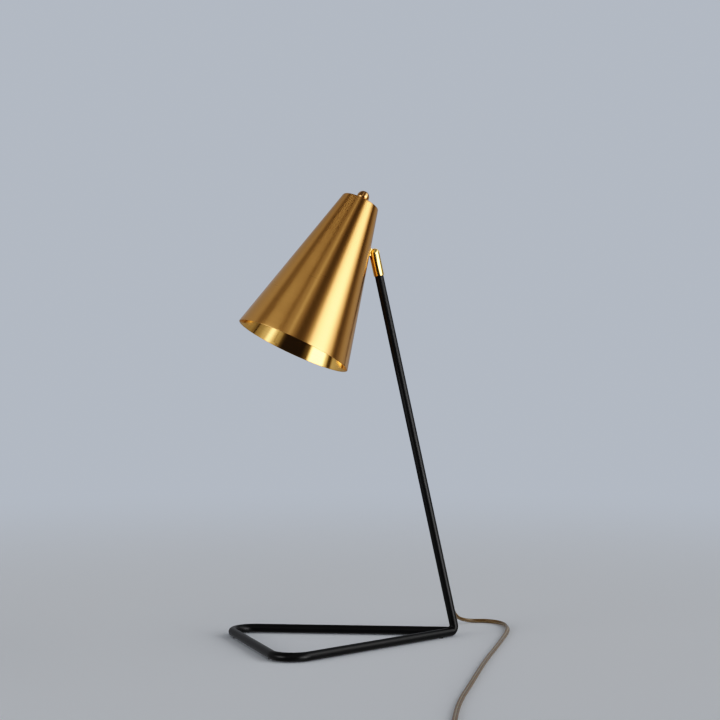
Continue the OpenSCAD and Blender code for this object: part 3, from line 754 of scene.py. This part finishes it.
tube_prof = rounded([(4.0, 12.0), (5.0, 12.0), (5.0, STEM_LEN), (4.0, STEM_LEN)], [0, 0, 0.35, 0], 4)
sv, sf, _ = lathe(tube_prof, 56)
make("stem", sv, sf, "base", black_coat, matrix=STEM, replaces=["stem_tube"])

# weld bead: where the rear rod meets the bend and the front rod
core = [Vector(p) for p in [U_STEM * 30] + [start] + arc_h + straight(arc_h[-1], arc_h[-1] + u_front * 60, 3)]


def reach(p):
    best = 1e9
    for a, b in zip(core[:-1], core[1:]):
        d = b - a
        t = min(max((p - a).dot(d) / d.length_squared, 0), 1)
        best = min(best, (p - a - d * t).length)
    return best


sx = u_rear.cross(Vector((0, 0, 1))).normalized()
sz = sx.cross(u_rear).normalized()
bead = []
for k in range(72):
    a = 2 * math.pi * k / 72
    off = (sx * math.cos(a) + sz * math.sin(a)) * ROD_R
    lo, hi = 0.0, 40.0
    for _ in range(30):
        mid = (lo + hi) / 2
        if reach(off + u_rear * mid) < ROD_R:
            lo = mid
        else:
            hi = mid
    bead.append(off + u_rear * lo)
bead = np.array([tuple(p) for p in bead])
for _ in range(2):
    bead = (np.roll(bead, 1, 0) + 2 * bead + np.roll(bead, -1, 0)) / 4
loop = []
m_ = len(bead)
for i in range(m_):
    for j in range(4):
        t = j / 4
        a, b, c, d = bead[i - 1], bead[i], bead[(i + 1) % m_], bead[(i + 2) % m_]
        loop.append(0.5 * ((2 * b) + (c - a) * t + (2 * a - 5 * b + 4 * c - d) * t * t + (3 * b - a - 3 * c + d) * t ** 3))
loop = np.array(loop)
run = np.concatenate([[0], np.cumsum(np.linalg.norm(np.diff(loop, axis=0), axis=1))])
tg = np.roll(loop, -1, 0) - np.roll(loop, 1, 0)
tg /= np.linalg.norm(tg, axis=1)[:, None]
wv, wf, nn = [], [], 16
u = np.cross(tg[0], [0, 0, 1.0])
if np.linalg.norm(u) < 0.1:
    u = np.cross(tg[0], [1.0, 0, 0])
cen = loop.mean(0)
for i in range(len(loop)):
    u = loop[i] - cen
    u = u - tg[i] * (u @ tg[i])
    u /= np.linalg.norm(u)
    v = np.cross(tg[i], u)
    # the bead is full above and ground flush below
    full = min(max((loop[i][2] + 3.6) / 3.2, 0), 1)
    r = (0.04 + 0.96 * full) * (1.05 + 0.07 * math.sin(run[i] * 2 * math.pi / 1.6) + 0.06 * math.sin(run[i] * 0.9 + 1.0))
    for k in range(nn):
        a = 2 * math.pi * k / nn
        q = loop[i] + r * (math.cos(a) * u + math.sin(a) * v)
        q[2] = max(q[2], 0.1 - ROD_R)
        wv.append(q)
for i in range(len(loop)):
    j = (i + 1) % len(loop)
    for k in range(nn):
        q = (k + 1) % nn
        wf.append((i * nn + k, i * nn + q, j * nn + q, j * nn + k))
make("base_weld", placed(HEEL, np.array(wv)), wf, "base", black_coat, sharp=60)

for n_, m_ in (("foot_pads", rubber), ("stem_nipple", zinc), ("stem_lead", lead_black)):
    frame["nodes"][n_].data.materials.clear()
    frame["nodes"][n_].data.materials.append(m_)

# ---------------------------------------------------------------- knuckle
refine("knuckle_cup", "knuckle_fork", gold_polished, 0.28, 3)
# the tongue takes the darker copy of the gold: painted shade in the slot
refine("knuckle_eye", "knuckle_tongue", gold_painted_shade, 0.22, 3)
refine("knuckle_screw", "pivot_screw", gold_polished, 0.15, 2)
refine("shade_nut", "stud_nut", gold_polished, 0.2, 2)

# ---------------------------------------------------------------- shade
ER = 2.8
er_x = R_TOP + ER * math.tan(HA) - ER / math.cos(HA)
outer = [(5.15, 0.0), (8.0, 0.0), (12.0, 0.0), (16.0, 0.0)]
for k in range(13):
    a = math.radians(90) + (HA - math.radians(90)) * k / 12
    outer.append((er_x + ER * math.cos(a), -ER + ER * math.sin(a)))
rim_r = SHEET / 2
nx, nz = math.cos(HA), math.sin(HA)
z_end = -SHADE_LEN + rim_r * 0.9
z0 = outer[-1][1]
for k in range(1, 49):
    z = z0 + (z_end - z0) * k / 48
    outer.append((cone_r(z), z))
n_out = len(outer)
mouth_r, mouth_z = outer[-1][0] - rim_r * nx, outer[-1][1] - rim_r * nz
rim = []
for k in range(1, 8):
    a = HA - math.pi * k / 8
    rim.append((mouth_r + rim_r * math.cos(a), mouth_z + rim_r * math.sin(a)))
inner = []
for k in range(48, -1, -1):
    z = z0 + (z_end - z0) * k / 48
    inner.append((cone_r(z) - SHEET * nx, z - SHEET * nz))
for k in range(11, -1, -1):
    a = math.radians(90) + (HA - math.radians(90)) * k / 12
    inner.append((er_x + (ER - SHEET) * math.cos(a), -ER + (ER - SHEET) * math.sin(a)))
inner += [(14.0, -SHEET), (9.0, -SHEET), (5.15, -SHEET)]
prof = outer + rim + inner
hv, hf, span = lathe(prof, 360)
which = [0 if i < n_out + 3 or i == len(prof) - 1 else 1 for i in span]
make("shade_cone", hv, hf, "head", [brass_brushed, brass_inside], matrix=HEAD, mat_of=which,
     replaces=["shade"])

# ball on top, on a low foot
cz = BALL_R - 1.5
ball = [(0.0, cz - BALL_R + 1.6)]
ball += [(5.0, 0.05), (5.45, 0.05), (5.6, 0.25), (5.6, 0.75), (5.35, 1.05)]
a0 = math.asin((1.35 - cz) / BALL_R)
for k in range(41):
    a = a0 + (math.pi / 2 - a0) * k / 40
    ball.append((BALL_R * math.cos(a) if k < 40 else 0.0, cz + BALL_R * math.sin(a)))
fv, ff, _ = lathe(ball, 72)
make("shade_ball", fv, ff, "head", bronze_dark, matrix=HEAD, replaces=["ball_finial"])

# ---------------------------------------------------------------- lampholder and bulb
HR = 19.0
skirt = rounded([(15.1, -36), (HR, -36), (HR, -40), (HR - 0.8, -40.6), (HR - 0.8, -42.4), (HR, -43),
                 (HR, -60), (HR - 1.6, -66), (HR - 2.2, -66.6), (15.1, -66.6)],
                [0, 0.4, 0.3, 0.2, 0.2, 0.4, 1.2, 0.8, 0.3, 0.3], 4)
kv, kf, _ = lathe(skirt, 288)
out = []
for x, y, z in kv:
    r, zz = math.hypot(x, y) / MM, z / MM
    if -61.5 < zz < -44.0 and r > HR - 0.6:
        a = math.atan2(y, x)
        edge = min(1.0, (zz + 61.5) / 1.5, (-44.0 - zz) / 1.5)
        d = 0.55 * max(0.0, math.sin(a * 36)) ** 0.7 * max(edge, 0)
        x, y = x * (1 - d / r), y * (1 - d / r)
    out.append((x, y, z))
rings_z = sorted({round(z / MM, 3) for _, _, z in kv})
make("holder_skirt", out, kf, "head", black_plastic, matrix=HEAD, sharp=40,
     replaces=["lampholder_skirt"])
refine("holder_cap", "lampholder_cap", black_plastic, 0.35, 2)

glass_prof = [(13.1, -60), (13.25, -62), (13.4, -64), (13.9, -67), (14.6, -70), (15.7, -74), (17.2, -78), (19.0, -82.5),
              (21.0, -87), (23.1, -91.4)]
cz, br = -112.0, 30.0
for k in range(49):
    a = math.radians(31) + (math.radians(-90) - math.radians(31)) * k / 48
    glass_prof.append((max(br * math.cos(a), 0.0) if k < 48 else 0.0, cz + br * math.sin(a)))
inn = [(max(r - 0.9, 0.0), z) for r, z in glass_prof[:-1]][::-1]
inn = [(0.0, cz - br + 1.0)] + inn[3:]
gv, gf, _ = lathe(glass_prof + inn, 96)
make("bulb_envelope", gv, gf, "head", bulb_opal, matrix=HEAD, sharp=60, replaces=["bulb_glass"])

for n_, m_ in (("stud_washer", black_plastic), ("shade_top_nut", zinc), ("shade_nipple", zinc),
               ("lampholder_block", porcelain), ("lampholder_thread_sleeve", gold_polished),
               ("lampholder_contact", gold_polished), ("head_lead", lead_black), ("bulb_screw_cap", nickel),
               ("bulb_tip_contact", nickel)):
    frame["nodes"][n_].data.materials.clear()
    frame["nodes"][n_].data.materials.append(m_)

# ---------------------------------------------------------------- stage and light
# a film curve: a firm toe and a soft shoulder, the same for the three channels
view = scene.view_settings
view.view_transform, view.look, view.use_curve_mapping = "Standard", "None", True
film = view.curve_mapping
film.use_clip, film.clip_max_x, film.clip_max_y, film.extend = False, 4.0, 4.0, "HORIZONTAL"
for channel in range(3):
    film.curves[channel].points[1].location = (4, 4)
tone = film.curves[3]
tone.points[1].location = (4.0, 1.0)
for x, y in ((0.016, 0.0055), (0.035, 0.018), (0.084, 0.066), (0.158, 0.154), (0.298, 0.310), (0.56, 0.546), (0.8, 0.72),
             (1.06, 0.86), (1.45, 0.955), (2.0, 0.988)):
    tone.points.new(x, y)
film.update()
BACKDROP = (0.443, 0.4875, 0.56)

world = bpy.data.worlds.new("studio")
scene.world = world
world.use_nodes = True
wt = world.node_tree
for n_ in list(wt.nodes):
    wt.nodes.remove(n_)
w_out = node(wt, "ShaderNodeOutputWorld")
tc = node(wt, "ShaderNodeTexCoord")

# The light is a tent of long cards hung along the shade's slant. A card is placed by the surface that it lights for the
# photograph: the direction halfway between the card and the tripod, as an angle round the shade and a rise along it.
TRIPOD = Vector((0.316, 0.947, 0.053)).normalized()
ALONG = Vector((math.sin(TILT), 0, math.cos(TILT)))
FRONT = (-TRIPOD + ALONG * TRIPOD.dot(ALONG)).normalized()
SIDE = FRONT.cross(ALONG)
SIDE = SIDE if SIDE.x > 0 else -SIDE


def vec_node(op, a, b=None):
    v = node(wt, "ShaderNodeVectorMath", operation=op)
    wt.links.new(a, v.inputs[0])
    if b is not None:
        v.inputs[1].default_value = tuple(b)
    return v.outputs["Value" if op in ("DOT_PRODUCT", "LENGTH") else "Vector"]


ray = tc.outputs["Generated"]
gap = vec_node("SUBTRACT", ray, TRIPOD)
half = vec_node("NORMALIZE", gap)
turn_ = math_node(wt, "ARCTAN2", vec_node("DOT_PRODUCT", half, SIDE), vec_node("DOT_PRODUCT", half, FRONT))
rise = vec_node("DOT_PRODUCT", half, ALONG)
t = span_of(wt, turn_, 0.0, 1.0, -math.pi / 2, math.pi / 2)


def cards(stops):
    return ramp(wt, t, [((d + 90) / 180, c if isinstance(c, tuple) else (c, c, c)) for d, c in stops], "EASE")


wall = (0.27, 0.28, 0.30)
upper = cards([(-90, wall), (-74, (0.26, 0.265, 0.27)), (-62, 0.32), (-50, 0.37), (-42.5, 0.15), (-38, 0.10), (-30, 0.16), (-25, 0.16),
               (-19, 0.11), (-13, 0.38), (-10.2, 0.40), (-8.6, 0.95), (-7, 0.36), (0.5, 0.09), (5.5, 0.11), (12, 0.43), (16.5, 1.3),
               (21, 2.4), (31, 2.6), (36.2, 1.3), (40.2, 0.18), (44, 0.05), (47.5, 0.16), (56, 0.40), (70, 0.42), (80, wall), (90, wall)])
lower = cards([(-90, wall), (-70, 0.33), (-60, 0.45), (-49, 0.60), (-45.5, 0.08), (-43, 0.08), (-39, 1.0), (-35, 4.2), (-22, 4.2),
               (-16.5, 0.14), (-10, 0.03), (10, 0.03), (13, 0.09), (16, 0.42), (21, 0.80), (27, 2.6), (31.5, 0.80), (40, 0.38), (47, 0.19),
               (53, 0.34), (70, 0.35), (90, wall)])
under = cards([(-90, wall), (-50, 0.28), (-30, 0.45), (-10, 0.12), (10, 0.12), (32, 0.55), (50, 0.25), (90, wall)])


def stepped(value, lo, hi):
    f = node(wt, "ShaderNodeMapRange", interpolation_type="SMOOTHSTEP")
    f.inputs["From Min"].default_value = lo
    f.inputs["From Max"].default_value = hi
    wt.links.new(value, f.inputs["Value"])
    return f.outputs["Result"]


def mixed(a, b, f):
    m = node(wt, "ShaderNodeMix", data_type="RGBA")
    wt.links.new(f, m.inputs["Factor"])
    for k, v in (("A", a), ("B", b)):
        if isinstance(v, tuple):
            m.inputs[k].default_value = (*v, 1)
        else:
            wt.links.new(v, m.inputs[k])
    return m.outputs["Result"]


tent = mixed(mixed(under, lower, stepped(rise, -0.44, -0.34)), upper, stepped(rise, -0.18, -0.08))
# the lamps sit behind the middle of the key box, and the tent is dimmer overhead
core = math_node(wt, "MULTIPLY", math_node(wt, "MULTIPLY", stepped(rise, -0.14, -0.04), stepped(rise, 0.24, 0.12)),
                 math_node(wt, "MULTIPLY", stepped(turn_, math.radians(10), math.radians(16)),
                           stepped(turn_, math.radians(33), math.radians(27))))
tent = mixed(tent, (6.0, 6.0, 6.0), math_node(wt, "MULTIPLY", core, 0.75))
tent = mixed(tent, (0.20, 0.21, 0.22), stepped(rise, 0.42, 0.85))
# behind the lamp there is only a plain wall, a little lighter towards its top
rear = mixed(wall, (0.55, 0.56, 0.58), stepped(vec_node("DOT_PRODUCT", ray, (0, 0, 1)), -0.1, 0.9))
sky = mixed(rear, tent, stepped(vec_node("LENGTH", gap), 0.30, 0.70))
studio = node(wt, "ShaderNodeBackground")
wt.links.new(sky, studio.inputs["Color"])
studio.inputs["Strength"].default_value = 1.0
plain = node(wt, "ShaderNodeBackground")
plain.inputs["Color"].default_value = (*BACKDROP, 1)
lp = node(wt, "ShaderNodeLightPath")
pick = node(wt, "ShaderNodeMixShader")
wt.links.new(lp.outputs["Is Camera Ray"], pick.inputs["Fac"])
wt.links.new(studio.outputs["Background"], pick.inputs[1])
wt.links.new(plain.outputs["Background"], pick.inputs[2])
wt.links.new(pick.outputs["Shader"], w_out.inputs["Surface"])

# floor: a wide pale sheet that runs out into the backdrop's tone
rings = [0.0, 0.6, 1.2, 2.4, 5.0, 12.0, 40.0]
gverts, gfaces, N = [(0, 0, 0)], [], 64
for r in rings[1:]:
    gverts += [(r * math.cos(2 * math.pi * k / N), r * math.sin(2 * math.pi * k / N), 0) for k in range(N)]
for k in range(N):
    gfaces.append((0, 1 + k, 1 + (k + 1) % N))
for i in range(len(rings) - 2):
    for k in range(N):
        q = (k + 1) % N
        gfaces.append((1 + i * N + k, 1 + (i + 1) * N + k, 1 + (i + 1) * N + q, 1 + i * N + q))
gme = bpy.data.meshes.new("floor")
gme.from_pydata(gverts, [], gfaces)
floor_mat = bpy.data.materials.new("floor")
floor_mat.use_nodes = True
ft = floor_mat.node_tree
for n_ in list(ft.nodes):
    ft.nodes.remove(n_)
f_out = node(ft, "ShaderNodeOutputMaterial")
diff = node(ft, "ShaderNodeBsdfDiffuse")
diff.inputs["Color"].default_value = (0.83, 0.87, 0.93, 1)
glow = node(ft, "ShaderNodeEmission")
glow.inputs["Color"].default_value = (*BACKDROP, 1)
ftc = node(ft, "ShaderNodeTexCoord")
flen = node(ft, "ShaderNodeVectorMath", operation="LENGTH")
ft.links.new(ftc.outputs["Object"], flen.inputs[0])
fr = node(ft, "ShaderNodeMapRange", interpolation_type="SMOOTHSTEP")
fr.inputs["From Min"].default_value = 0.35
fr.inputs["From Max"].default_value = 2.2
ft.links.new(flen.outputs["Value"], fr.inputs["Value"])
fm = node(ft, "ShaderNodeMixShader")
ft.links.new(fr.outputs["Result"], fm.inputs["Fac"])
ft.links.new(diff.outputs["BSDF"], fm.inputs[1])
ft.links.new(glow.outputs["Emission"], fm.inputs[2])
ft.links.new(fm.outputs["Shader"], f_out.inputs["Surface"])
gme.materials.append(floor_mat)
floor = bpy.data.objects.new("floor", gme)
scene.collection.objects.link(floor)
floor.visible_glossy = False
floor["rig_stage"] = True

lo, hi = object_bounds()
